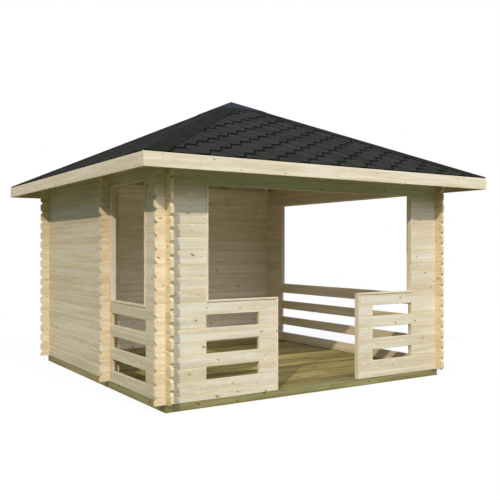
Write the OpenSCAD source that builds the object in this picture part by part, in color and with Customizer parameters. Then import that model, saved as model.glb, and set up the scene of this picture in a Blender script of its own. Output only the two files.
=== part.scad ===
// Square log gazebo: interlocking log walls on a treated base, low log
// balustrades, and a hipped shingle roof on rafters. Millimetres, +Z up,
// front towards -Y, origin on the ground at the centre of the plan.

/* [Log walls] */
// Width and depth over the outer wall faces (the plan is square)
wall_w = 3545; // [2940:5:4250]
// Height of one log course
log_h = 122.3; // [95:0.1:146]
// Thickness of a log
log_t = 34; // [28:1:44]
// Length of the log ends past the outer wall face
log_ext = 106; // [80:1:150]
// Number of log courses from base to wall top
courses = 19; // [18:1:21]
// Size of the bevels that point the log ends
end_bevel = 28; // [15:1:32]
// Depth of the groove along each joint between logs
groove = 4; // [2:0.5:6]

/* [Front] */
// Width of the corner posts of stacked logs beside the front opening
front_post_w = 424; // [350:5:450]
// Distance from the corner to the far end of a front balustrade
front_rail_end = 1225; // [1050:1:1300]
// Distance from the corner to the near end of the balustrade slots
slot_start = 424; // [350:2:480]
// Distance from the corner to the far end of the front slots
slot_end = 1020; // [860:2:1040]

/* [Sides] */
// Distance from the front corner to the side openings
side_post_w = 430; // [360:2:500]
// Distance from the front corner to the far end of the left opening
left_open_end = 1302; // [1080:2:1310]
// Distance from the front corner to the short cross wall
stub_pos = 1360; // [1330:2:1500]
// Length of the cross wall inside the room
stub_in = 74; // [60:2:150]
// Width of the rear post of the right opening
rear_post_w = 430; // [360:2:560]

/* [Cover boards] */
// Thickness of the boards that line the openings
trim_t = 18; // [15:1:28]
// Width of these boards across the wall
trim_w = 56; // [50:1:80]

/* [Base and floor] */
// Height of the base beams
base_h = 75.5; // [60:0.5:95]
// Width of the base beams
base_w = 70; // [60:1:90]
// Thickness of the floor boards
floor_t = 28; // [19:1:32]
// Number of floor joists
joist_n = 5; // [3:1:7]
// Thickness of a floor joist
joist_t = 45; // [38:1:60]

/* [Roof] */
// Pitch of the four slopes in degrees
roof_pitch = 25; // [20:0.5:30]
// Horizontal overhang past the outer wall face
eave = 394; // [320:2:475]
// Depth of a rafter, square to the slope
rafter_d = 110; // [95:1:130]
// Thickness of a rafter
rafter_t = 45; // [38:1:60]
// Rafters on each slope between the hips
rafter_n = 4; // [2:1:6]
// How far the rafters are notched down over the wall top
rafter_notch = 45; // [15:1:50]
// Thickness of the roof boards
boards_t = 16; // [14:1:22]
// Thickness of the shingle covering
cover_t = 8; // [6:1:10]
// Gap between the edge of the covering and the face of the fascia
cover_inset = 6; // [0:1:15]
// Width of the hip caps on each side of the hip
hip_cap_w = 162; // [120:2:200]
// Thickness of the hip caps
hip_cap_t = 5; // [3:1:8]
// Half width of the peak cap, in plan
peak_cap_r = 315; // [240:5:400]
// Thickness of the peak cap
peak_cap_t = 5; // [3:1:8]
// Width of the block where the hip rafters meet
king_w = 90; // [80:2:140]
// How far that block hangs below the rafters
king_drop = 40; // [20:2:80]

/* [Fascia] */
// Height of the fascia boards
fascia_h = 127; // [120:1:160]
// Thickness of the fascia boards
fascia_t = 20; // [18:1:28]
// Bevel along the lower outer edge of the fascia
fascia_bevel = 3; // [1:0.5:6]

/* [Hidden] */

half_w = wall_w / 2;
inner = half_w - log_t;
wall_top = base_h + courses * log_h;
// Front and back walls start on half a log, side walls on a whole one
front_offset = log_h / 2;
side_offset = 0;
// Heights of the balustrade tops and of the lintels, on log joints
front_rail_top = base_h + front_offset + 7 * log_h;
side_rail_top = base_h + 7 * log_h;
front_head = base_h + front_offset + (courses - 3) * log_h;
side_head = base_h + (courses - 2) * log_h;
// Cut edges along the walls, from the centre of the plan
left_end_y = -half_w + left_open_end;
rear_y = half_w - rear_post_w;
stub_y = -half_w + stub_pos;

// Roof: vertical thicknesses of its layers, measured up from the underside of the boards
slope = tan(roof_pitch);
rafter_v = rafter_d / cos(roof_pitch);
boards_v = boards_t / cos(roof_pitch);
cover_v = boards_v + cover_t / cos(roof_pitch);
hip_v = cover_v + hip_cap_t / cos(roof_pitch);
peak_v = hip_v + peak_cap_t / cos(roof_pitch);
roof_r = half_w + eave;
boards_r = roof_r - fascia_t;
cover_r = roof_r - cover_inset;
peak_z = wall_top - rafter_notch + rafter_v + half_w * slope;
fascia_top = peak_z - roof_r * slope + boards_v;
fascia_low = fascia_top - fascia_h;
tail_gap = 8;
hip_side = rafter_t / sqrt(2);
// Along the eave, the width that a hip cap takes from the corner
cap_reach = hip_cap_w / sin(atan(1 / cos(roof_pitch)));
rafter_step = 2 * inner / (rafter_n + 1);
over = 1;
tall = 5000;

wood = "#e3cfa4";
aged = "#8f8c5c";
dark = "#34373a";

// ---- Extrusions along the plan axes of an outline drawn in a vertical plane
module along_x(x0, x1) {
    translate([x0, 0, 0]) rotate([90, 0, 90]) linear_extrude(x1 - x0) children();
}
module along_y(y0, y1) {
    translate([0, y1, 0]) rotate([90, 0, 0]) linear_extrude(y1 - y0) children();
}
module quarter(turn) {
    rotate([0, 0, 90 * turn]) children();
}

// ---- Logs
function joint(offset, k) = base_h + offset + k * log_h;
function joints(offset, z0, z1) =
    [for (k = [0:courses]) if (joint(offset, k) > z0 && joint(offset, k) < z1) joint(offset, k)];
function is_joint(offset, z) = len(joints(offset, z - over, z + over)) > 0;
function backwards(list) = [for (i = [len(list) - 1:-1:0]) list[i]];

// One side of a stack's outline, upwards; dir is 1 or -1 where log ends are pointed, 0 where cut
function stack_edge(u, dir, offset, z0, z1) = dir == 0
    ? [[u, z0], [u, z1]]
    : concat(
        is_joint(offset, z0) ? [[u - dir * end_bevel, z0], [u, z0 + end_bevel]] : [[u, z0]],
        [for (z = joints(offset, z0 + over, z1 - over))
            each [[u, z - end_bevel], [u - dir * end_bevel, z], [u, z + end_bevel]]],
        is_joint(offset, z1) ? [[u, z1 - end_bevel], [u - dir * end_bevel, z1]] : [[u, z1]]);

// Section across a stack of logs, with a groove along every joint on both faces
module stack_section(v0, offset) {
    zs = joints(offset, 0, tall);
    outer = [for (z = zs) each [[v0, z - groove], [v0 + groove, z], [v0, z + groove]]];
    room = [for (z = zs)
        each [[v0 + log_t, z - groove], [v0 + log_t - groove, z], [v0 + log_t, z + groove]]];
    low = base_h - log_h;
    high = wall_top + log_h;
    polygon(concat([[v0, low]], outer, [[v0, high], [v0 + log_t, high]], backwards(room),
        [[v0 + log_t, low]]));
}

// Holes where the logs of a crossing wall pass: the middle half of each of its logs
module crossing_holes(u, other_offset) {
    for (k = [-1:courses])
        translate([u, base_h + other_offset + (k + 0.25) * log_h])
            square([log_t, log_h / 2]);
}

module outline(u0, dir0, u1, dir1, offset, z0, z1) {
    polygon(concat(stack_edge(u1, dir1, offset, z0, z1),
        backwards(stack_edge(u0, dir0, offset, z0, z1))));
}

// A stack of logs parallel to X, its outer or front face at y; children cut its outline
module log_x(y, u0, dir0, u1, dir1, z0, z1) {
    intersection() {
        along_y(y - over, y + log_t + over) difference() {
            outline(u0, dir0, u1, dir1, front_offset, z0, z1);
            for (s = [-1, 1]) crossing_holes(s * (half_w - log_t / 2) - log_t / 2, side_offset);
            children();
        }
        along_x(u0 - over, u1 + over) stack_section(y, front_offset);
    }
}

// The same parallel to Y, its lower-x face at x
module log_y(x, u0, dir0, u1, dir1, z0, z1) {
    intersection() {
        along_x(x - over, x + log_t + over) difference() {
            outline(u0, dir0, u1, dir1, side_offset, z0, z1);
            for (s = [-1, 1]) crossing_holes(s * (half_w - log_t / 2) - log_t / 2, front_offset);
            children();
        }
        along_y(u0 - over, u1 + over) stack_section(x, side_offset);
    }
}

// Three slots, each one course high, over courses 1, 3 and 5
module slots(u0, u1, offset) {
    for (k = [1, 3, 5])
        translate([u0, joint(offset, k)]) square([u1 - u0, log_h]);
}

// Draws its children on the left, and mirrored to the right
module on_right() {
    mirror([1, 0, 0]) children();
}

// ---- Base and floor
module beam_x(y) {
    color(aged) translate([-half_w, y, 0]) cube([wall_w, base_w, base_h]);
}
module beam_y(x) {
    color(aged) translate([x, -half_w + base_w, 0]) cube([base_w, wall_w - 2 * base_w, base_h]);
}
module base_front_beam() { beam_x(-half_w); }
module base_back_beam() { beam_x(half_w - base_w); }
module base_left_beam() { beam_y(-half_w); }
module base_right_beam() { beam_y(half_w - base_w); }

module floor_joists() {
    span = wall_w - 2 * base_w;
    pitch = span / (joist_n + 1);
    for (i = [1:joist_n])
        color(aged) translate([-span / 2 + i * pitch - joist_t / 2, -span / 2, 0])
            cube([joist_t, span, base_h - floor_t]);
}

module floor_deck() {
    span = wall_w - 2 * base_w;
    color(aged) translate([-span / 2, -span / 2, base_h - floor_t]) cube([span, span, floor_t]);
}

// ---- Front wall
module balustrade_left() {
    color(wood) log_x(-half_w, -half_w - log_ext, -1, -half_w + front_rail_end, 0,
        base_h, front_rail_top)
        slots(-half_w + slot_start, -half_w + slot_end, front_offset);
}
module post_left() {
    color(wood) log_x(-half_w, -half_w - log_ext, -1, -half_w + front_post_w, 0,
        front_rail_top, front_head);
}
module front_left_balustrade() { balustrade_left(); }
module front_right_balustrade() { on_right() balustrade_left(); }
module front_left_post() { post_left(); }
module front_right_post() { on_right() post_left(); }

module front_lintel() {
    color(wood) log_x(-half_w, -half_w - log_ext, -1, half_w + log_ext, 1, front_head, wall_top);
}

// ---- Side walls; y runs from front to back
module left_balustrade() {
    color(wood) log_y(-half_w, -half_w - log_ext, -1, left_end_y, 0, base_h, side_rail_top)
        slots(-half_w + side_post_w, left_end_y, side_offset);
}
module left_front_post() {
    color(wood) log_y(-half_w, -half_w - log_ext, -1, -half_w + side_post_w, 0,
        side_rail_top, side_head);
}
module left_wall() {
    color(wood) log_y(-half_w, left_end_y, 0, half_w + log_ext, 1, base_h, side_head)
        crossing_holes(stub_y, front_offset);
}
module left_lintel() {
    color(wood) log_y(-half_w, -half_w - log_ext, -1, half_w + log_ext, 1, side_head, wall_top)
        crossing_holes(stub_y, front_offset);
}
module left_cross_wall() {
    color(wood) log_x(stub_y, -half_w - log_ext, -1, -inner + stub_in, 1, base_h, wall_top);
}

module right_rails() {
    for (k = [0, 2, 4, 6])
        color(wood) log_y(inner, -half_w + side_post_w, 0, rear_y, 0,
            joint(side_offset, k), joint(side_offset, k + 1));
}
module right_front_post() {
    color(wood) log_y(inner, -half_w - log_ext, -1, -half_w + side_post_w, 0, base_h, side_head);
}
module right_back_post() {
    color(wood) log_y(inner, rear_y, 0, half_w + log_ext, 1, base_h, side_head);
}
module right_lintel() {
    color(wood) log_y(inner, -half_w - log_ext, -1, half_w + log_ext, 1, side_head, wall_top);
}

// ---- Back wall
module back_wall() {
    color(wood) log_x(inner, -half_w - log_ext, -1, half_w + log_ext, 1, base_h, wall_top);
}

// ---- Cover boards, centred on the wall thickness
trim_y = -half_w + log_t / 2 - trim_w / 2;
cap_z = front_rail_top + trim_t;
sill_z = side_rail_top + trim_t;

module front_jamb_boards() {
    for (s = [0, 1])
        color(wood) mirror([s, 0, 0]) translate([-half_w + front_post_w, trim_y, front_rail_top])
            cube([trim_t, trim_w, front_head - front_rail_top]);
}
module front_cap_boards() {
    from = front_post_w + trim_t;
    for (s = [0, 1])
        color(wood) mirror([s, 0, 0]) translate([-half_w + from, trim_y, front_rail_top])
            cube([front_rail_end + trim_t - from, trim_w, trim_t]);
}
module front_end_boards() {
    for (s = [0, 1])
        color(wood) mirror([s, 0, 0]) translate([-half_w + front_rail_end, trim_y, base_h])
            cube([trim_t, trim_w, front_rail_top - base_h]);
}

module side_jamb(x, y) {
    color(wood) translate([x, y, sill_z]) cube([trim_w, trim_t, side_head - sill_z]);
}
module side_sill(x, y0, y1) {
    color(wood) translate([x, y0, side_rail_top]) cube([trim_w, y1 - y0, trim_t]);
}
module left_jamb_boards() {
    side_jamb(trim_y, -half_w + side_post_w);
    side_jamb(trim_y, left_end_y - trim_t);
}
module left_sill_board() { side_sill(trim_y, -half_w + side_post_w, left_end_y); }
module right_jamb_boards() {
    side_jamb(-trim_y - trim_w, -half_w + side_post_w);
    side_jamb(-trim_y - trim_w, rear_y - trim_t);
}
module right_sill_board() { side_sill(-trim_y - trim_w, -half_w + side_post_w, rear_y); }

// ---- Roof
function roof_z(r) = peak_z - r * slope;

// Two slopes and their underside, the layer v above the underside of the boards
module gable(v, r, low) {
    polygon([[-r, roof_z(r) + v], [-r, low], [r, low], [r, roof_z(r) + v], [0, peak_z + v]]);
}
// Everything under the hipped surface at v, out to r
module hipped(v, r, low) {
    intersection() {
        along_x(-r, r) gable(v, r, low);
        along_y(-r, r) gable(v, r, low);
    }
}
// The front slope between two surfaces, out to r and mitred at the hips
module slope_slab(v0, v1, r) {
    intersection() {
        along_x(-r, r) polygon([[-r, roof_z(r) + v0], [0, peak_z + v0], [0, peak_z + v1],
            [-r, roof_z(r) + v1]]);
        linear_extrude(tall) polygon([[0, 0], [-r, -r], [r, -r]]);
    }
}
// Plan of the walls, for notching what sits on them
module wall_tops() {
    for (i = [0:3]) quarter(i)
        translate([-half_w - log_ext, -half_w, wall_top - 2 * log_h])
            cube([wall_w + 2 * log_ext, log_t, 2 * log_h]);
    translate([-half_w - log_ext, stub_y, wall_top - 2 * log_h])
        cube([log_ext + log_t + stub_in, log_t, 2 * log_h]);
}
// What is under the level cut of the rafter tails
module under_tails() {
    translate([-roof_r, -roof_r, 0]) cube([2 * roof_r, 2 * roof_r, fascia_low + tail_gap]);
}

module king_box(low) {
    translate([-king_w / 2, -king_w / 2, low]) cube([king_w, king_w, tall - low]);
}
module king_block() {
    low = roof_z(king_w / 2) - rafter_v - king_drop;
    color(wood) intersection() {
        king_box(low);
        hipped(0, king_w, low - over);
    }
}

// A hip rafter lies under the hip with its two upper edges against the boards
module hip_rafter() {
    drop = hip_side / 2 * slope;
    long = boards_r * sqrt(2);
    hip_slope = slope / sqrt(2);
    rotate([0, 0, 225]) translate([0, rafter_t / 2, 0]) rotate([90, 0, 0])
        linear_extrude(rafter_t) polygon([[0, peak_z - drop], [0, peak_z - rafter_v],
            [long, peak_z - rafter_v - long * hip_slope], [long, peak_z - drop - long * hip_slope]]);
}
module hip_rafters() {
    for (i = [0:3])
        color(wood) difference() {
            intersection() {
                quarter(i) hip_rafter();
                translate([-boards_r, -boards_r, 0]) cube([2 * boards_r, 2 * boards_r, tall]);
            }
            king_box(0);
            wall_tops();
            under_tails();
        }
}

// The rafters of one slope, cut against the hip rafters; turn 0 is the front
module rafters(turn) {
    for (i = [1:rafter_n]) {
        x = -inner + i * rafter_step;
        color(wood) difference() {
            quarter(turn) intersection() {
                along_x(x - rafter_t / 2, x + rafter_t / 2) polygon([[-boards_r, roof_z(boards_r)],
                    [-boards_r, roof_z(boards_r) - rafter_v], [0, peak_z - rafter_v], [0, peak_z]]);
                linear_extrude(tall) polygon([[0, -hip_side], [-boards_r, -boards_r - hip_side],
                    [boards_r, -boards_r - hip_side]]);
            }
            wall_tops();
            under_tails();
        }
    }
}
module front_rafters() { rafters(0); }
module right_rafters() { rafters(1); }
module back_rafters() { rafters(2); }
module left_rafters() { rafters(3); }

module roof_boards(turn) {
    color(wood) quarter(turn) slope_slab(0, boards_v, boards_r);
}
module front_roof_boards() { roof_boards(0); }
module right_roof_boards() { roof_boards(1); }
module back_roof_boards() { roof_boards(2); }
module left_roof_boards() { roof_boards(3); }

module shingles(turn) {
    color(dark) quarter(turn) slope_slab(boards_v, cover_v, cover_r);
}
module front_shingles() { shingles(0); }
module right_shingles() { shingles(1); }
module back_shingles() { shingles(2); }
module left_shingles() { shingles(3); }

// The hip caps run from the eave corners in under the peak cap
module hip_caps() {
    inner_r = cap_reach + 2 * over;
    for (i = [0:3])
        color(dark) quarter(i) intersection() {
            difference() {
                hipped(hip_v, cover_r, fascia_low);
                hipped(cover_v, cover_r + over, fascia_low - over);
            }
            linear_extrude(tall) polygon([[-cover_r, -cover_r], [cap_reach - cover_r, -cover_r],
                [-inner_r + cap_reach, -inner_r], [-inner_r, -inner_r],
                [-inner_r, cap_reach - inner_r], [-cover_r, cap_reach - cover_r]]);
        }
}

module peak_cap() {
    low = roof_z(peak_cap_r) - over;
    color(dark) difference() {
        hipped(peak_v, peak_cap_r, low);
        hipped(hip_v, peak_cap_r + over, low - over);
    }
}

// ---- Fascia: the front and back boards run through, the side ones fit between them
module fascia(turn, reach) {
    color(wood) quarter(turn) along_x(-reach, reach) polygon([
        [-roof_r, fascia_top], [-roof_r, fascia_low + fascia_bevel],
        [-roof_r + fascia_bevel, fascia_low], [-boards_r, fascia_low],
        [-boards_r, fascia_top + fascia_t * slope]]);
}
module front_fascia() { fascia(0, roof_r); }
module right_fascia() { fascia(1, boards_r); }
module back_fascia() { fascia(2, roof_r); }
module left_fascia() { fascia(3, boards_r); }

base_front_beam();
base_back_beam();
base_left_beam();
base_right_beam();
floor_joists();
floor_deck();
front_left_balustrade();
front_right_balustrade();
front_left_post();
front_right_post();
front_lintel();
left_balustrade();
left_front_post();
left_wall();
left_lintel();
left_cross_wall();
right_rails();
right_front_post();
right_back_post();
right_lintel();
back_wall();
front_jamb_boards();
front_cap_boards();
front_end_boards();
left_jamb_boards();
left_sill_board();
right_jamb_boards();
right_sill_board();
king_block();
hip_rafters();
front_rafters();
right_rafters();
back_rafters();
left_rafters();
front_roof_boards();
right_roof_boards();
back_roof_boards();
left_roof_boards();
front_shingles();
right_shingles();
back_shingles();
left_shingles();
hip_caps();
peak_cap();
front_fascia();
right_fascia();
back_fascia();
left_fascia();
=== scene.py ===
import math

import bmesh
import bpy
from mathutils import Matrix, Vector


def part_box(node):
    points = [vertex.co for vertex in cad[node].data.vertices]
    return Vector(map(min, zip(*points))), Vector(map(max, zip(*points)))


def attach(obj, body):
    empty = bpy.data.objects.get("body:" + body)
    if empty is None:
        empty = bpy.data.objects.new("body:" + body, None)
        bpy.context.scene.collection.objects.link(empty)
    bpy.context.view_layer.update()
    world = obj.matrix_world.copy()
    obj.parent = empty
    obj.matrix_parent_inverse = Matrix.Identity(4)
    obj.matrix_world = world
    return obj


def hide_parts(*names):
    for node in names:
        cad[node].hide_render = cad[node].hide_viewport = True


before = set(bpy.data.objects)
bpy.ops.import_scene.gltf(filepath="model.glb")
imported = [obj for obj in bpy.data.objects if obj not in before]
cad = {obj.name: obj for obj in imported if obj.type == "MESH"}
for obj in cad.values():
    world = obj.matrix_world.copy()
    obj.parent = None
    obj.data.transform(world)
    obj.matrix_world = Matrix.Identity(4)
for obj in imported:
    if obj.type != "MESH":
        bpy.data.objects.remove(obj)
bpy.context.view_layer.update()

# ---- Base beams
# Four pressure-treated softwood beams laid on the ground under the walls, butted at the
# corners and screwed together. The treatment leaves them greenish, with brown streaks.
wall_face = -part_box("base_front_beam")[0].y
log_height = (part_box("left_lintel")[1].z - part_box("left_lintel")[0].z) / 2
log_thickness = 0.034
ring_gap = 0.0062
grain_depth = 0.0007
timber_gloss = 0.25
sawn_roughness = 0.55


def node(tree, kind, settings=None, inputs=None):
    """A shader or geometry node with its settings and inputs; a socket as a value is linked."""
    made = tree.nodes.new(kind)
    for key, value in (settings or {}).items():
        setattr(made, key, value)
    for key, value in (inputs or {}).items():
        if isinstance(value, bpy.types.NodeSocket):
            tree.links.new(value, made.inputs[key])
        else:
            made.inputs[key].default_value = value
    return made


def sums(tree):
    """Short names for the nodes that a finish is worked out with."""

    def calc(operation, *values):
        return node(tree, "ShaderNodeMath", {"operation": operation}, dict(enumerate(values))).outputs[0]

    def ease(value, low, high, start=0.0, end=1.0):
        return node(tree, "ShaderNodeMapRange", {"interpolation_type": "SMOOTHSTEP"},
                    {"Value": value, "From Min": low, "From Max": high,
                     "To Min": start, "To Max": end}).outputs["Result"]

    def mix(factor, first, second, blend="MIX"):
        made = node(tree, "ShaderNodeMix", {"data_type": "RGBA", "blend_type": blend},
                    {0: factor, 6: first, 7: second})
        return made.outputs[2]

    def point(x, y, z=0.0):
        return node(tree, "ShaderNodeCombineXYZ", None, {0: x, 1: y, 2: z}).outputs[0]

    def noise(vector, scale, detail=2.0, roughness=0.5):
        return node(tree, "ShaderNodeTexNoise", None, {"Vector": vector, "Scale": scale, "Detail": detail,
                                                       "Roughness": roughness}).outputs[0]

    return calc, ease, mix, point, noise


def finish_tree(tree, colour, roughness, height, depth, gloss):
    """Closes a material: colour, roughness and a bump of that depth in metres."""
    bump = node(tree, "ShaderNodeBump", None, {"Strength": 1.0, "Distance": depth, "Height": height})
    shader = node(tree, "ShaderNodeBsdfPrincipled", None,
                  {"Base Color": colour, "Roughness": roughness, "Specular IOR Level": gloss,
                   "Normal": bump.outputs[0]})
    output = node(tree, "ShaderNodeOutputMaterial")
    tree.links.new(shader.outputs[0], output.inputs["Surface"])


def rgb(red, green, blue):
    """A colour as it is read off a paint card, 0 to 255, for a shader."""
    return tuple((c / 255 / 12.92 if c <= 10 else ((c / 255 + 0.055) / 1.055) ** 2.4)
                 for c in (red, green, blue)) + (1.0,)


def timber(name, run, look, tilt=(0.0, 0.0, 0.0)):
    """Sawn timber with its grain along x, y, z or the hips: streaks, growth lines, knots, end grain."""
    material = bpy.data.materials.new(name)
    material.use_nodes = True
    tree = material.node_tree
    tree.nodes.clear()
    calc, ease, mix, point, noise = sums(tree)
    place = node(tree, "ShaderNodeTexCoord")
    turned = node(tree, "ShaderNodeMapping", None, {"Vector": place.outputs["Object"], "Rotation": tilt})
    facing = node(tree, "ShaderNodeMapping", {"vector_type": "NORMAL"},
                  {"Vector": place.outputs["Normal"], "Rotation": tilt})
    x, y, z = node(tree, "ShaderNodeSeparateXYZ", None, {0: turned.outputs[0]}).outputs
    nx, ny, nz = node(tree, "ShaderNodeSeparateXYZ", None, {0: facing.outputs[0]}).outputs
    if run == "x":
        along, across, through, end_on, level, side = x, z, y, nx, nz, ny
    elif run == "y":
        along, across, through, end_on, level, side = y, z, x, ny, nz, nx
    elif run == "z":
        along, across, through = z, calc("ADD", x, y), calc("SUBTRACT", x, y)
        end_on, level, side = nz, nx, ny
    else:
        out = calc("MULTIPLY", calc("ADD", calc("ABSOLUTE", x), calc("ABSOLUTE", y)), math.sqrt(0.5))
        dip = math.atan(math.tan(look["pitch_angle"]) * math.sqrt(0.5))
        along = calc("SUBTRACT", calc("MULTIPLY", out, math.cos(dip)), calc("MULTIPLY", z, math.sin(dip)))
        across = calc("ADD", calc("MULTIPLY", out, math.sin(dip)), calc("MULTIPLY", z, math.cos(dip)))
        through = calc("SUBTRACT", x, y)
        end_on, level, side = 0.0, nz, nx

    # Which board or log this is, and its own place in the tree it was cut from
    lifted = calc("SUBTRACT", across, look.get("first", 0.0))
    row = calc("FLOOR", calc("DIVIDE", lifted, look.get("row", log_height)))
    wall = calc("FLOOR", calc("MULTIPLY", through, 2.0))
    dice = node(tree, "ShaderNodeTexWhiteNoise", {"noise_dimensions": "2D"},
                {"Vector": point(calc("ADD", row, look.get("seed", 0.0)), wall)})
    lucks = node(tree, "ShaderNodeSeparateColor", None, {0: dice.outputs["Color"]}).outputs
    luck_a, luck_b, luck_c = lucks[:3]
    u = calc("MULTIPLY_ADD", luck_a, 9.0, along)
    v = calc("MULTIPLY_ADD", luck_b, 5.0, across)
    w = calc("MULTIPLY_ADD", luck_c, 3.0, through)

    # Knots: at most one in each stretch of a board, round or cut aslant
    stretch = look.get("knot_gap", 0.3)
    cell = point(calc("DIVIDE", u, stretch), calc("DIVIDE", lifted, look.get("knot_row", log_height)))
    knots = node(tree, "ShaderNodeTexVoronoi", {"voronoi_dimensions": "2D"},
                 {"Vector": cell, "Scale": 1.0, "Randomness": 0.85})
    away = node(tree, "ShaderNodeVectorMath", {"operation": "SUBTRACT"},
                {0: cell, 1: knots.outputs["Position"]})
    away = node(tree, "ShaderNodeVectorMath", {"operation": "MULTIPLY"},
                {0: away.outputs[0], 1: (stretch * 0.75, look.get("knot_row", log_height), 0.0)})
    off_u, off_v = node(tree, "ShaderNodeSeparateXYZ", None, {0: away.outputs[0]}).outputs[:2]
    size_luck, there_luck, shape_luck = node(tree, "ShaderNodeSeparateColor", None,
                                             {0: knots.outputs["Color"]}).outputs[:3]
    slant = calc("MULTIPLY", off_v, calc("MULTIPLY_ADD", shape_luck, 1.8, -0.6))
    distance = node(tree, "ShaderNodeVectorMath", {"operation": "LENGTH"},
                    {0: point(calc("ADD", off_u, slant), off_v)}).outputs["Value"]
    there = calc("GREATER_THAN", there_luck, look.get("knot_rare", 0.4))
    strength = calc("MULTIPLY", there, calc("MULTIPLY_ADD", shape_luck, 0.35, 0.65))
    radius = calc("MULTIPLY", calc("MULTIPLY_ADD", calc("POWER", size_luck, 2.0), 0.9, 0.35),
                  look.get("knot_size", 0.011))
    ratio = calc("DIVIDE", distance, radius)
    core = calc("MULTIPLY", ease(ratio, 0.6, 1.1, 1.0, 0.0), strength)
    halo = calc("MULTIPLY", ease(ratio, 0.9, 3.6, 1.0, 0.0), there)
    v_bent = calc("SUBTRACT", v, calc("MULTIPLY", calc("MULTIPLY", off_v, halo), 0.75))

    def figure(lengthways, crossways, inwards, detail, roughness):
        """Noise drawn out along the grain and bent round the knots."""
        return noise(point(calc("MULTIPLY", u, lengthways), calc("MULTIPLY", v_bent, crossways),
                           calc("MULTIPLY", w, inwards)), 1.0, detail, roughness)

    # Streaks, growth lines and fibres
    streak = figure(0.9, 20.0, 20.0, 3.0, 0.55)
    fibre = figure(7.0, 330.0, 330.0, 2.0, 0.6)
    middle = calc("SUBTRACT", lifted,
                  calc("MULTIPLY", calc("ADD", row, 0.5), look.get("row", log_height)))
    middle = calc("ADD", middle, calc("MULTIPLY_ADD", luck_b, 0.08, -0.04))
    middle = calc("SUBTRACT", middle, calc("MULTIPLY", calc("MULTIPLY", off_v, halo), 0.75))
    inward = calc("SUBTRACT", calc("ABSOLUTE", through), wall_face - log_thickness / 2)
    inward = calc("ADD", inward, log_thickness)
    drift = noise(point(calc("MULTIPLY", u, 1.3), calc("MULTIPLY", v, 9.0), w), 1.0, 1.0)
    pith = node(tree, "ShaderNodeVectorMath", {"operation": "LENGTH"},
                {0: point(middle, inward)}).outputs["Value"]
    rings = calc("SINE", calc("MULTIPLY", calc("MULTIPLY_ADD", drift, 0.03, pith), 2 * math.pi / ring_gap))
    rings = ease(rings, 0.1, 1.0)

    tone = calc("ADD", calc("MULTIPLY", ease(streak, 0.3, 0.7), 0.62), calc("MULTIPLY", fibre, 0.3))
    tone = calc("SUBTRACT", calc("ADD", tone, calc("MULTIPLY_ADD", luck_c, look.get("vary", 0.3), -0.12)),
                calc("MULTIPLY", rings, 0.16))
    colour = mix(ease(tone, 0.0, 1.0), look["deep"], look["pale"])
    if "stain" in look:
        patch = noise(point(calc("MULTIPLY", u, 1.6), calc("MULTIPLY", v, 7.0), w), 1.0, 4.0, 0.6)
        colour = mix(ease(patch, 0.42, 0.72, 0.0, 0.75), colour, look["stain"])
    bleached = figure(10.0, 46.0, 9.0, 4.0, 0.65)
    colour = mix(ease(bleached, 0.54, 0.68, 0.0, look.get("bleach", 0.0)), colour, look["white"])
    colour = mix(calc("MULTIPLY", halo, 0.25), colour, look["halo"])
    colour = mix(calc("MULTIPLY", core, 0.85), colour, look["knot"])
    # The lowest 2 to 3 cm of the beams turn browner and darker towards the bottom.
    if "foot" in look:
        bottom_darkening = ease(calc("ADD", z, calc("MULTIPLY", streak, 0.02)), 0.016, 0.03, 0.8, 0.0)
        colour = mix(bottom_darkening, colour, look["foot"])
    # Painted highlight: faces that lean at about 45 degrees, the bevels along the log joints and the
    # rounded board edges, are painted lighter and yellower.
    if "groove" in look:
        highlight_facets = calc("MULTIPLY", calc("ABSOLUTE", level), calc("ABSOLUTE", side))
        colour = mix(calc("MULTIPLY", ease(highlight_facets, 0.3, 0.45), 0.8), colour, look["groove"])
    # Painted light: where the logs run on beyond the wall faces at the corners, their sides are painted
    # lighter and warmer than the same logs within the wall.
    if "warm" in look:
        run_on_lift = ease(calc("ABSOLUTE", along), wall_face - 0.004, wall_face + 0.004)
        colour = mix(run_on_lift, colour, mix(1.0, colour, look["warm"], "MULTIPLY"))
    if run != "hip":
        cut = ease(calc("ABSOLUTE", end_on), 0.45, 0.6)
        end_colour = mix(calc("MULTIPLY", rings, 0.45), look["end"], look["end_ring"])
        end_colour = mix(calc("MULTIPLY", fibre, 0.35), end_colour, look["end_ring"])
        colour = mix(cut, colour, end_colour)
    height = calc("ADD", calc("MULTIPLY", fibre, 0.5),
                  calc("ADD", calc("MULTIPLY", rings, -0.25), calc("MULTIPLY", core, 0.6)))
    roughness = calc("MULTIPLY_ADD", fibre, 0.22, look.get("rough", sawn_roughness))
    finish_tree(tree, colour, roughness, height, grain_depth, timber_gloss)
    return material


def paint(material, *names):
    """Gives CAD pieces their finish."""
    for name in names:
        slots = cad[name].data.materials
        slots.clear()
        slots.append(material)


treated = {"white": rgb(184, 174, 126), "pale": rgb(158, 149, 100), "deep": rgb(108, 102, 60),
           "stain": rgb(116, 96, 54), "halo": rgb(140, 124, 74), "knot": rgb(78, 62, 34),
           "end": rgb(120, 108, 66), "end_ring": rgb(88, 76, 44), "knot_gap": 0.24,
           "knot_row": 0.08, "knot_size": 0.015, "row": 0.2, "rough": 0.62, "knot_rare": 0.15}
ground_beam = dict(treated, foot=rgb(138, 112, 52))
paint(timber("treated_beam_x", "x", ground_beam), "base_front_beam", "base_back_beam")
paint(timber("treated_beam_y", "y", ground_beam), "base_left_beam", "base_right_beam", "floor_joists")

# ---- Floor boards
# Treated softwood boards laid from side to side over the joists, flush with the base beams.
# Each has eased upper edges, butts against the next and is nailed twice at every joist.
floor_low, floor_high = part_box("floor_deck")
board_count = 29
board_ease = 0.0018


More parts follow.
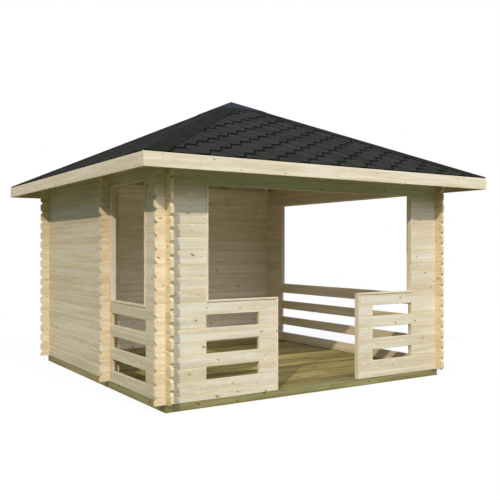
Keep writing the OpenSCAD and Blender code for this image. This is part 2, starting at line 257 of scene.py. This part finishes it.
def geometry_tree(name, inputs):
    """A Geometry Nodes tree with a mesh in, a mesh out and named inputs."""
    tree = bpy.data.node_groups.new(name, "GeometryNodeTree")
    tree.interface.new_socket("Geometry", in_out="INPUT", socket_type="NodeSocketGeometry")
    for label, kind in inputs:
        tree.interface.new_socket(label, in_out="INPUT", socket_type="NodeSocket" + kind)
    tree.interface.new_socket("Geometry", in_out="OUTPUT", socket_type="NodeSocketGeometry")
    return tree, tree.nodes.new("NodeGroupInput").outputs, tree.nodes.new("NodeGroupOutput").inputs


def grow(name, start, tree, values):
    """Runs the tree on a starting mesh and returns its result as a plain object."""
    seedling = bpy.data.objects.new(name + "_start", start)
    bpy.context.scene.collection.objects.link(seedling)
    modifier = seedling.modifiers.new("grow", "NODES")
    modifier.node_group = tree
    for item in tree.interface.items_tree:
        if item.in_out == "INPUT" and item.name in values:
            modifier[item.identifier] = values[item.name]
    bpy.context.view_layer.update()
    result = seedling.evaluated_get(bpy.context.evaluated_depsgraph_get())
    mesh = bpy.data.meshes.new_from_object(result)
    bpy.data.objects.remove(seedling)
    return add_piece(name, mesh)


def add_piece(name, mesh, *stands_for, material=None, slot=None):
    """A finished piece on the one body; its place is in its mesh."""
    mesh.name = name
    piece = bpy.data.objects.new(name, mesh)
    bpy.context.scene.collection.objects.link(piece)
    if material is not None:
        mesh.materials.clear()
        mesh.materials.append(material)
    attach(piece, "root")
    if stands_for:
        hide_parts(*stands_for)
    return piece


def solid(points, faces):
    """A mesh from points and faces, with its faces turned outwards."""
    mesh = bpy.data.meshes.new("solid")
    mesh.from_pydata([tuple(p) for p in points], [], faces)
    work = bmesh.new()
    work.from_mesh(mesh)
    bmesh.ops.recalc_face_normals(work, faces=work.faces)
    work.to_mesh(mesh)
    work.free()
    return mesh


def bar(outline, start, end):
    """A prism of a closed outline, given as (second, third) coordinates, from start to end along x."""
    count = len(outline)
    points = [(x, a, b) for x in (start, end) for a, b in outline]
    faces = [list(range(count)), list(range(2 * count - 1, count - 1, -1))]
    faces += [[i, (i + 1) % count, count + (i + 1) % count, count + i] for i in range(count)]
    return solid(points, faces)


tree, given, result = geometry_tree("floor_board_rows", [
    ("Board Width", "Float"), ("Count", "Int"), ("Finish", "Material")])
step = node(tree, "ShaderNodeCombineXYZ", None, {1: given["Board Width"]})
line = node(tree, "GeometryNodeMeshLine", None, {"Count": given["Count"], "Offset": step.outputs[0]})
rows = node(tree, "GeometryNodeInstanceOnPoints", None,
            {"Points": line.outputs[0], "Instance": given["Geometry"]})
made = node(tree, "GeometryNodeRealizeInstances", None, {0: rows.outputs[0]})
made = node(tree, "GeometryNodeSetMaterial", None, {0: made.outputs[0], "Material": given["Finish"]})
tree.links.new(made.outputs[0], result[0])

board_width = (floor_high.y - floor_low.y) / board_count
near, far = floor_low.y, floor_low.y + board_width
low, high, eased = floor_low.z, floor_high.z, board_ease
board_outline = [(near, low), (far, low), (far, high - 2 * eased), (far - eased / 2, high - eased / 2),
                 (far - 2 * eased, high), (near + 2 * eased, high), (near + eased / 2, high - eased / 2),
                 (near, high - 2 * eased)]
decking = dict(treated, row=board_width, first=floor_low.y, knot_row=board_width, vary=0.9,
               pale=rgb(166, 148, 86), deep=rgb(84, 78, 38), stain=rgb(108, 89, 42))
floor_finish = timber("treated_floor", "x", decking, tilt=(math.radians(-90), 0.0, 0.0))
deck = grow("floor_boards", bar(board_outline, floor_low.x, floor_high.x), tree,
            {"Board Width": board_width, "Count": board_count, "Finish": floor_finish})
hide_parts("floor_deck")

# ---- Log walls
# Spruce logs 34 mm thick with a tongue and groove, bevelled along both faces. They are
# notched over each other at the corners, where their ends run on, and carry no other fixing.
front_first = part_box("base_front_beam")[1].z + log_height / 2
side_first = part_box("base_front_beam")[1].z
spruce = {"white": rgb(238, 229, 216), "pale": rgb(226, 211, 186), "deep": rgb(204, 185, 150),
          "halo": rgb(214, 190, 146), "knot": rgb(136, 76, 38), "end": rgb(217, 194, 151),
          "end_ring": rgb(208, 176, 122), "groove": rgb(232, 204, 146), "warm": (1.09, 1.04, 0.94, 1.0),
          "bleach": 0.42, "row": log_height, "knot_row": log_height, "knot_gap": 0.3,
          "knot_size": 0.0125, "knot_rare": 0.28}
front_logs = timber("spruce_logs_x", "x", dict(spruce, first=front_first - log_height))
# Painted shade: the side walls' logs get a darker copy of the spruce, standing in for the lesser light on
# the left wall.
shaded_side_spruce = dict(spruce, first=side_first - log_height, seed=40.0, white=rgb(217, 207, 189),
                   pale=rgb(207, 191, 163), deep=rgb(186, 167, 131), end=rgb(228, 203, 155))
shaded_side_logs = timber("spruce_logs_y_shaded", "y", shaded_side_spruce)
# Painted light: the corner posts get a lighter copy of the side walls' spruce, lifted more where the logs
# run on, so that they look more brightly lit.
lit_corner_logs = timber("spruce_corner_y_lit", "y", dict(
    shaded_side_spruce, white=rgb(226, 216, 198), pale=rgb(216, 201, 174), deep=rgb(196, 178, 145),
    warm=(1.16, 1.09, 0.96, 1.0), end=rgb(233, 208, 161)))
# Painted shade: the front lintel, under the eave, gets a darker, greyer copy of the front logs' spruce.
shaded_lintel_logs = timber("spruce_lintel_x_shaded", "x", dict(
    spruce, first=front_first - log_height, seed=5.0, white=rgb(222, 219, 208), pale=rgb(213, 204, 181),
    deep=rgb(190, 177, 146), knot_rare=0.1))
paint(front_logs, "front_left_balustrade", "front_right_balustrade", "front_left_post",
      "front_right_post", "back_wall", "left_cross_wall")
paint(shaded_lintel_logs, "front_lintel")
paint(shaded_side_logs, "left_balustrade", "left_wall", "left_lintel", "right_rails", "right_lintel")
paint(lit_corner_logs, "left_front_post", "right_front_post", "right_back_post")

# ---- Cover boards
# Planed spruce boards that cap the balustrades, cover the cut log ends and line the sides
# of each opening. Their long edges are rounded over, and they are nailed to the logs.
edge_round = 0.0025
sharp_angle = math.radians(35)


def eased_copy(source, radius):
    """The CAD piece with its sharp edges rounded over."""
    mesh = cad[source].data.copy()
    work = bmesh.new()
    work.from_mesh(mesh)
    bmesh.ops.remove_doubles(work, verts=work.verts, dist=1e-5)
    bmesh.ops.dissolve_limit(work, angle_limit=math.radians(1), verts=work.verts, edges=work.edges)
    sharp = [e for e in work.edges if len(e.link_faces) == 2 and e.calc_face_angle() > sharp_angle]
    bmesh.ops.bevel(work, geom=sharp, offset=radius, offset_type="OFFSET", segments=2, profile=0.5,
                    affect="EDGES", clamp_overlap=True)
    bmesh.ops.recalc_face_normals(work, faces=work.faces)
    work.to_mesh(mesh)
    work.free()
    return mesh


planed = dict(spruce, pale=rgb(232, 215, 187), deep=rgb(212, 190, 153), row=0.5, knot_row=0.07,
              knot_gap=0.35, knot_size=0.008, knot_rare=0.55)
del planed["groove"], planed["warm"]
planed_x = timber("planed_spruce_x", "x", dict(planed, seed=3.0))
planed_y = timber("planed_spruce_y", "y", dict(planed, seed=7.0))
planed_z = timber("planed_spruce_z", "z", dict(planed, seed=11.0))
for trim, board, finish in (("front_cap_trim", "front_cap_boards", planed_x),
                            ("front_end_trim", "front_end_boards", planed_z),
                            ("front_jamb_trim", "front_jamb_boards", planed_z),
                            ("left_jamb_trim", "left_jamb_boards", planed_z),
                            ("right_jamb_trim", "right_jamb_boards", planed_z),
                            ("left_sill_trim", "left_sill_board", planed_y),
                            ("right_sill_trim", "right_sill_board", planed_y)):
    add_piece(trim, eased_copy(board, edge_round), board, material=finish, slot="planed_board")

# ---- Roof timbers
# Planed spruce rafters, notched over the wall tops. Four hip rafters meet at a turned-down
# block under the peak, and the shorter rafters between them are cut to the hips and nailed.
pitch = math.radians(25)
framing = dict(planed, pale=rgb(222, 204, 168), deep=rgb(194, 170, 126), row=0.6, knot_row=0.11,
               knot_gap=0.4, knot_size=0.01, pitch_angle=pitch)
paint(timber("framing_z", "z", framing), "king_block")
paint(timber("framing_hip", "hip", framing), "hip_rafters")
paint(timber("framing_front", "y", framing, tilt=(-pitch, 0.0, 0.0)), "front_rafters")
paint(timber("framing_back", "y", framing, tilt=(pitch, 0.0, 0.0)), "back_rafters")
paint(timber("framing_left", "x", framing, tilt=(0.0, pitch, 0.0)), "left_rafters")
paint(timber("framing_right", "x", framing, tilt=(0.0, -pitch, 0.0)), "right_rafters")

# ---- Roof boards
# Tongued and grooved spruce boards nailed across the rafters, bevelled where they meet, so
# that a groove shows along every joint on the underside. They are mitred over the hips.
boards_low, boards_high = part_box("front_roof_boards")
boards_out = -boards_low.y
rise = math.tan(pitch)
boards_thick = boards_high.z - boards_low.z - boards_out * rise
peak = boards_low.z + boards_out * rise
lining_width = 0.092
board_cover = lining_width * math.cos(pitch)
board_groove = 0.0035


def quarter_turn(mesh, turns):
    """The front slope's mesh turned to the right, back or left slope."""
    mesh.transform(Matrix.Rotation(math.radians(90 * turns), 4, "Z"))
    return mesh


def lining():
    """One slope of boards; every point of the profile runs from hip to hip."""
    profile = [(boards_out, 0.0)]
    out = boards_out - board_cover
    while out > board_cover:
        profile += [(out + board_groove, 0.0), (out, board_groove), (out - board_groove, 0.0)]
        out -= board_cover
    profile += [(0.0, 0.0), (0.0, boards_thick), (boards_out, boards_thick)]
    points, faces, left, right = [], [], [], []
    for out, lift in profile:
        height = peak - out * rise + lift
        left.append(len(points))
        points.append((-out, -out, height))
        if out > 0:
            right.append(len(points))
            points.append((out, -out, height))
        else:
            right.append(left[-1])
    count = len(profile)
    for i in range(count):
        j = (i + 1) % count
        ring = [left[i], right[i], right[j], left[j]]
        ring = [p for k, p in enumerate(ring) if p != ring[k - 1]]
        if len(ring) > 2:
            faces.append(ring)
    faces += [left, right[::-1]]
    return solid(points, faces)


lined = dict(framing, row=board_cover, first=0.0, knot_row=board_cover, vary=0.4)
lining_x = timber("lining_x", "x", lined, tilt=(math.radians(-90), 0.0, 0.0))
lining_y = timber("lining_y", "y", lined, tilt=(0.0, math.radians(90), 0.0))
for turn, (side, finish) in enumerate((("front", lining_x), ("right", lining_y),
                                       ("back", lining_x), ("left", lining_y))):
    add_piece(side + "_lining", quarter_turn(lining(), turn), side + "_roof_boards",
              material=finish, slot="roof_timber")

# ---- Shingles
# Hexagonal bitumen shingles nailed on from the eave up. Every course is set over by half a
# tab, so that its tabs cover the slots of the one below and the roof shows as a honeycomb.
cover_out = -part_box("front_shingles")[0].y
half_pitch = 0.1856
tab_edge = 0.104
tab_flare = half_pitch - tab_edge
course = 0.1245
first_edge = 0.024
middle_shift = -0.093
tab_lap = 0.012
# Widths of the painted shadow on each tab: a band below the next course's lower edge, and a band beside
# that course's right-hand side.
shadow_band = 0.034
side_shadow_band = 0.021
felt_thick = 0.0035
tab_top, tab_top_fall = 0.0092, 0.002
tab_under, tab_under_fall = 0.0048, 0.0036
granule_size, granule_depth, bitumen_gloss = 420.0, 0.0008, 0.02
edge_and_shadow_black = rgb(9, 10, 8)
courses = 17


def bitumen(name, light, dark, speckle=0.5):
    """Mineral granules pressed into bitumen, matt and slightly sparkling."""
    material = bpy.data.materials.new(name)
    material.use_nodes = True
    tree = material.node_tree
    tree.nodes.clear()
    calc, ease, mix, point, noise = sums(tree)
    place = node(tree, "ShaderNodeTexCoord").outputs["Object"]
    grains = node(tree, "ShaderNodeTexVoronoi", None, {"Vector": place, "Scale": granule_size})
    grain = node(tree, "ShaderNodeSeparateColor", None, {0: grains.outputs["Color"]}).outputs[0]
    cloud = noise(place, 9.0, 5.0, 0.6)
    shade = node(tree, "ShaderNodeAttribute", {"attribute_name": "tab_shade"}).outputs["Fac"]
    tone = node(tree, "ShaderNodeAttribute", {"attribute_name": "tab_tone"}).outputs["Fac"]
    value = calc("ADD", calc("MULTIPLY", grain, speckle), calc("MULTIPLY", ease(cloud, 0.3, 0.7), 0.3))
    value = calc("ADD", value, calc("MULTIPLY", tone, 0.25))
    colour = mix(value, dark, light)
    # Where tab_shade is set, the colour goes to black. This is bare bitumen on the cut edges, and painted
    # shade and shadow where tab edges lie over a tab.
    colour = mix(shade, colour, edge_and_shadow_black)
    height = calc("SUBTRACT", 1.0, grains.outputs["Distance"])
    roughness = calc("MULTIPLY_ADD", grain, 0.2, 0.75)
    finish_tree(tree, colour, roughness, height, granule_depth, bitumen_gloss)
    return material


def tab_mesh():
    """One tab on the front slope, about the middle of its lower edge; heights are upright. Its tab_shade
    paints its lower edge and right-hand side black, partly as bare bitumen and partly as painted shade,
    gives its left-hand side a faint painted shade, and lays painted shadow in bands on its top where the
    next course's lower edge and right-hand side lie over it.
    """
    half, wide, back = tab_edge / 2, tab_edge / 2 + tab_flare, 2 * course + tab_lap
    upper = 2 * course - shadow_band
    inset = half + tab_flare * shadow_band / course
    top = [(-half, 0), (half, 0), (wide, course), (side_shadow_band - wide, course), (-wide, course),
           (-wide, upper), (-inset, upper), (side_shadow_band - inset, upper), (wide, upper), (wide, back),
           (-wide, back)]
    under = [(-half, 0), (half, 0), (wide, course), (wide, back), (-wide, back), (-wide, course)]
    upright = 1 / math.cos(pitch)
    points = [(x, y, y * rise + (tab_top - tab_top_fall * y / course) * upright) for x, y in top]
    points += [(x, y, y * rise + (tab_under - tab_under_fall * y / back) * upright) for x, y in under]
    lit, faint, dark = 0.0, 0.3, 1.0
    faces = [((0, 1, 2, 3, 4), lit), ((4, 3, 7, 6), dark), ((4, 6, 5), dark), ((3, 2, 8, 7), lit),
             ((5, 6, 7, 8, 9, 10), dark), ((11, 12, 1, 0), dark), ((12, 13, 2, 1), dark),
             ((13, 14, 9, 8, 2), dark), ((14, 15, 10, 9), dark), ((15, 16, 4, 5, 10), faint),
             ((16, 11, 0, 4), faint), ((16, 15, 14, 13, 12, 11), lit)]
    mesh = bpy.data.meshes.new("shingle_tab")
    mesh.from_pydata(points, [], [corners for corners, shade in faces])
    shades = mesh.attributes.new("tab_shade", "FLOAT", "FACE")
    shades.data.foreach_set("value", [shade for corners, shade in faces])
    return mesh


def felt_mesh():
    """The underlay felt of the front slope, just inside the edge of the covering."""
    out, inner, thick = cover_out - 0.001, 0.001, felt_thick / math.cos(pitch)
    low, high = peak - out * rise + boards_thick, peak - inner * rise + boards_thick
    reach = out - inner
    points = [(-reach, -out, low), (reach, -out, low), (0, -inner, high),
              (-reach, -out, low + thick), (reach, -out, low + thick), (0, -inner, high + thick)]
    return solid(points, [(0, 2, 1), (3, 4, 5), (0, 1, 4, 3), (1, 2, 5, 4), (2, 0, 3, 5)])


def trim_to_slope(mesh):
    """Cuts the courses off at the eave and along both hips, and closes the tabs that were cut."""
    work = bmesh.new()
    work.from_mesh(mesh)
    shade = work.faces.layers.float["tab_shade"]
    eave, summit = (0, -cover_out, 0), (0, 0, 0)
    for spot, outward in ((eave, (0, -1, 0)), (summit, (1, 1, 0)), (summit, (-1, 1, 0))):
        cut = bmesh.ops.bisect_plane(work, geom=work.verts[:] + work.edges[:] + work.faces[:], dist=1e-7,
                                     plane_co=spot, plane_no=outward, clear_outer=True)
        edges = [e for e in cut["geom_cut"] if isinstance(e, bmesh.types.BMEdge) and e.is_boundary]
        # The faces that close the cut tabs get the full tab_shade and are painted black, partly as bare
        # bitumen edge and partly as painted shade.
        for face in bmesh.ops.holes_fill(work, edges=edges, sides=0)["faces"]:
            face[shade] = 1.0
    work.to_mesh(mesh)
    work.free()


tree, given, result = geometry_tree("shingle_courses", [
    ("Tab", "Object"), ("Half Pitch", "Float"), ("Tab Reach", "Float"), ("Course", "Float"),
    ("Columns", "Int"), ("Courses", "Int"), ("First Middle", "Float"), ("First Edge", "Float"),
    ("Roof Reach", "Float"), ("Roof Slope", "Float"), ("Deck Height", "Float"), ("Seed", "Int"),
    ("Finish", "Material")])


def maths(operation, *values):
    return node(tree, "ShaderNodeMath", {"operation": operation}, dict(enumerate(values))).outputs[0]


index = node(tree, "GeometryNodeInputIndex").outputs[0]
column = maths("MODULO", index, given["Columns"])
level = maths("FLOOR", maths("DIVIDE", index, given["Columns"]))
shift = maths("MODULO", level, 2.0)
tab_x = maths("MULTIPLY_ADD", maths("MULTIPLY_ADD", column, 2.0, shift), given["Half Pitch"],
              given["First Middle"])
tab_y = maths("SUBTRACT", maths("MULTIPLY_ADD", level, given["Course"], given["First Edge"]),
              given["Roof Reach"])
tab_z = maths("MULTIPLY_ADD", tab_y, given["Roof Slope"], given["Deck Height"])
spot = node(tree, "ShaderNodeCombineXYZ", None, {0: tab_x, 1: tab_y, 2: tab_z})
spots = node(tree, "GeometryNodePoints", None,
             {"Count": maths("MULTIPLY", given["Columns"], given["Courses"]),
              "Position": spot.outputs[0]})
position = node(tree, "GeometryNodeInputPosition").outputs[0]
here = node(tree, "ShaderNodeSeparateXYZ", None, {0: position}).outputs
nearest = maths("SUBTRACT", maths("ABSOLUTE", here[0]), given["Tab Reach"])
outside = maths("GREATER_THAN", nearest, maths("MULTIPLY", here[1], -1.0))
kept = node(tree, "GeometryNodeDeleteGeometry", {"domain": "POINT"},
            {"Geometry": spots.outputs[0], "Selection": outside})
pattern = node(tree, "GeometryNodeObjectInfo", None, {"Object": given["Tab"]})
tabs = node(tree, "GeometryNodeInstanceOnPoints", None,
            {"Points": kept.outputs[0], "Instance": pattern.outputs["Geometry"]})
dice = node(tree, "FunctionNodeRandomValue", {"data_type": "FLOAT"}, {"Seed": given["Seed"]})
toned = node(tree, "GeometryNodeStoreNamedAttribute", {"data_type": "FLOAT", "domain": "INSTANCE"},
             {"Geometry": tabs.outputs[0], "Name": "tab_tone", "Value": dice.outputs[1]})
loose = node(tree, "GeometryNodeRealizeInstances", None, {0: toned.outputs[0]})
joined = node(tree, "GeometryNodeJoinGeometry")
tree.links.new(loose.outputs[0], joined.inputs[0])
tree.links.new(given["Geometry"], joined.inputs[0])
whole = node(tree, "GeometryNodeRealizeInstances", None, {0: joined.outputs[0]})
whole = node(tree, "GeometryNodeSetMaterial", None, {0: whole.outputs[0], "Material": given["Finish"]})
tree.links.new(whole.outputs[0], result[0])

shingle = bitumen("bitumen_shingle", rgb(56, 56, 48), rgb(26, 27, 22), 0.6)
tab_pattern = bpy.data.objects.new("tab_pattern", tab_mesh())
bpy.context.scene.collection.objects.link(tab_pattern)
tabs_each_side = math.ceil(cover_out / (2 * half_pitch))
for turn, side in enumerate(("front", "right", "back", "left")):
    piece = grow(side + "_shingle_courses", felt_mesh(), tree, {
        "Tab": tab_pattern, "Half Pitch": half_pitch, "Tab Reach": tab_edge / 2 + tab_flare,
        "Course": course, "Columns": 2 * tabs_each_side + 1, "Courses": courses,
        "First Middle": middle_shift - 2 * half_pitch * tabs_each_side,
        "First Edge": first_edge - 2 * course, "Roof Reach": cover_out, "Roof Slope": rise,
        "Deck Height": peak + boards_thick, "Seed": turn, "Finish": shingle})
    trim_to_slope(piece.data)
    quarter_turn(piece.data, turn)
    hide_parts(side + "_shingles")
bpy.data.objects.remove(tab_pattern)

# ---- Hip and peak caps
# Strips of the same shingle folded over the four hips, and a square cap sheet folded over
# the peak, which covers their upper ends.
paint(bitumen("bitumen_hip", rgb(44, 45, 38), rgb(4, 5, 3), 0.85), "hip_caps")
paint(bitumen("bitumen_peak", rgb(62, 61, 66), rgb(41, 40, 46), 0.4), "peak_cap")

# ---- Fascia
# Planed spruce boards nailed to the rafter tails round the four eaves; the front and back
# boards run through and the side ones butt between them. Their edges are rounded over.
fascia_round = 0.006
# The fascia boards' rounded edges get a lighter, yellower painted highlight.
eaves = dict(planed, knot_gap=0.4, knot_rare=0.5, groove=rgb(238, 214, 160), bleach=0.3)
eaves_x = timber("fascia_x", "x", dict(eaves, seed=17.0))
# Painted shade: the side boards get a slightly darker copy of the planed spruce.
shaded_eaves_y = timber("fascia_y_shaded", "y", dict(eaves, seed=23.0, pale=rgb(224, 208, 182),
                                       deep=rgb(205, 184, 149)))
for side, finish in (("front", eaves_x), ("back", eaves_x), ("left", shaded_eaves_y), ("right", shaded_eaves_y)):
    add_piece(side + "_eaves_board", eased_copy(side + "_fascia", fascia_round), side + "_fascia",
              material=finish, slot="planed_board")

# ---- Studio
# A pale floor that runs out into a white surround, two suns and a soft light from the front and
# a small lamp in the room. The sky fades towards the horizon, and light that bounces off the
# floor comes back as dim olive, as it would off grass.
def looked_at(tree):
    """1 where the camera, a reflection or glass sees a surface, and 0 where light bounces off it."""
    calc = sums(tree)[0]
    ray = node(tree, "ShaderNodeLightPath").outputs
    through = calc("MAXIMUM", ray["Is Glossy Ray"], ray["Is Transmission Ray"])
    return calc("MAXIMUM", ray["Is Camera Ray"], through)


floor_reach = 40
floor_mesh = bpy.data.meshes.new("studio_floor")
floor_corners = [(x * floor_reach, y * floor_reach, 0) for x, y in ((-1, -1), (1, -1), (1, 1), (-1, 1))]
floor_mesh.from_pydata(floor_corners, [], [(0, 1, 2, 3)])
studio_floor = bpy.data.objects.new("studio_floor", floor_mesh)
bpy.context.scene.collection.objects.link(studio_floor)
floor_paint = bpy.data.materials.new("studio_floor")
floor_paint.use_nodes = True
tree = floor_paint.node_tree
tree.nodes.clear()
calc, ease, mix = sums(tree)[:3]
place = node(tree, "ShaderNodeTexCoord").outputs["Object"]
reach = node(tree, "ShaderNodeVectorMath", {"operation": "LENGTH"}, {0: place}).outputs["Value"]
seen = looked_at(tree)
whiter = calc("MULTIPLY", seen, ease(reach, 2.5, 9.0, 0.84, 1.0))
ground_bounce, pale_floor = (0.175, 0.20, 0.095, 1.0), (0.95, 0.95, 0.95, 1.0)
matt = node(tree, "ShaderNodeBsdfDiffuse", None, {"Color": mix(seen, ground_bounce, pale_floor)})
white = node(tree, "ShaderNodeEmission", None, {"Color": (1, 1, 1, 1), "Strength": 1.0})
both = node(tree, "ShaderNodeMixShader", None, {0: whiter, 1: matt.outputs[0], 2: white.outputs[0]})
output = node(tree, "ShaderNodeOutputMaterial")
tree.links.new(both.outputs[0], output.inputs["Surface"])
floor_mesh.materials.append(floor_paint)

world = bpy.data.worlds.new("surround")
bpy.context.scene.world = world
world.use_nodes = True
tree = world.node_tree
tree.nodes.clear()
ease = sums(tree)[1]
seen = looked_at(tree)
sky = node(tree, "ShaderNodeTexCoord").outputs["Generated"]
climb = node(tree, "ShaderNodeSeparateXYZ", None, {0: sky}).outputs[2]
sky_blue = (0.68, 0.90, 1.27, 1.0)
fill = node(tree, "ShaderNodeBackground", None,
            {"Color": sky_blue, "Strength": ease(climb, 0.06, 0.42, 0.07, 0.8)})
white = node(tree, "ShaderNodeBackground", None, {"Color": (1, 1, 1, 1), "Strength": 1.0})
both = node(tree, "ShaderNodeMixShader", None, {0: seen, 1: fill.outputs[0], 2: white.outputs[0]})
output = node(tree, "ShaderNodeOutputWorld")
tree.links.new(both.outputs[0], output.inputs["Surface"])

warm_light, cool_light = (1.0, 0.965, 0.90), (0.87, 0.94, 1.12)
for name, energy, direction, angle, tint in (("key_sun", 2.38, (0.62, 0.59, -0.542), 0.8, warm_light),
                                             ("front_sun", 0.26, (0.0, 0.59, -0.542), 1.2, warm_light),
                                             ("front_soft", 0.97, (0.08, 0.87, -0.48), 36, cool_light)):
    lamp = bpy.data.lights.new(name, "SUN")
    lamp.energy = energy
    lamp.angle = math.radians(angle)
    lamp.color = tint
    lamp_object = bpy.data.objects.new(name, lamp)
    lamp_object.rotation_euler = Vector(direction).to_track_quat("-Z", "Y").to_euler()
    bpy.context.scene.collection.objects.link(lamp_object)

room_glow = bpy.data.lights.new("room_glow", "POINT")
room_glow.energy = 21
room_glow.shadow_soft_size = 0.5
room_glow.color = (0.95, 1.0, 1.12)
room_glow_object = bpy.data.objects.new("room_glow", room_glow)
room_glow_object.location = (0.1, 0.1, 0.75)
room_glow_object.visible_camera = False
room_glow_object.visible_glossy = False
bpy.context.scene.collection.objects.link(room_glow_object)

camera = bpy.data.cameras.new("camera")
camera.lens = 50.23
camera.sensor_width = 36.0
camera.shift_y = -0.004
camera.clip_end = 200
viewer = bpy.data.objects.new("camera", camera)
viewer.location = (-4.562, -7.506, 1.501)
viewer.rotation_euler = (math.radians(90), 0.0, math.radians(-32.85))
bpy.context.scene.collection.objects.link(viewer)
bpy.context.scene.camera = viewer
bpy.context.scene.view_settings.view_transform = "Standard"
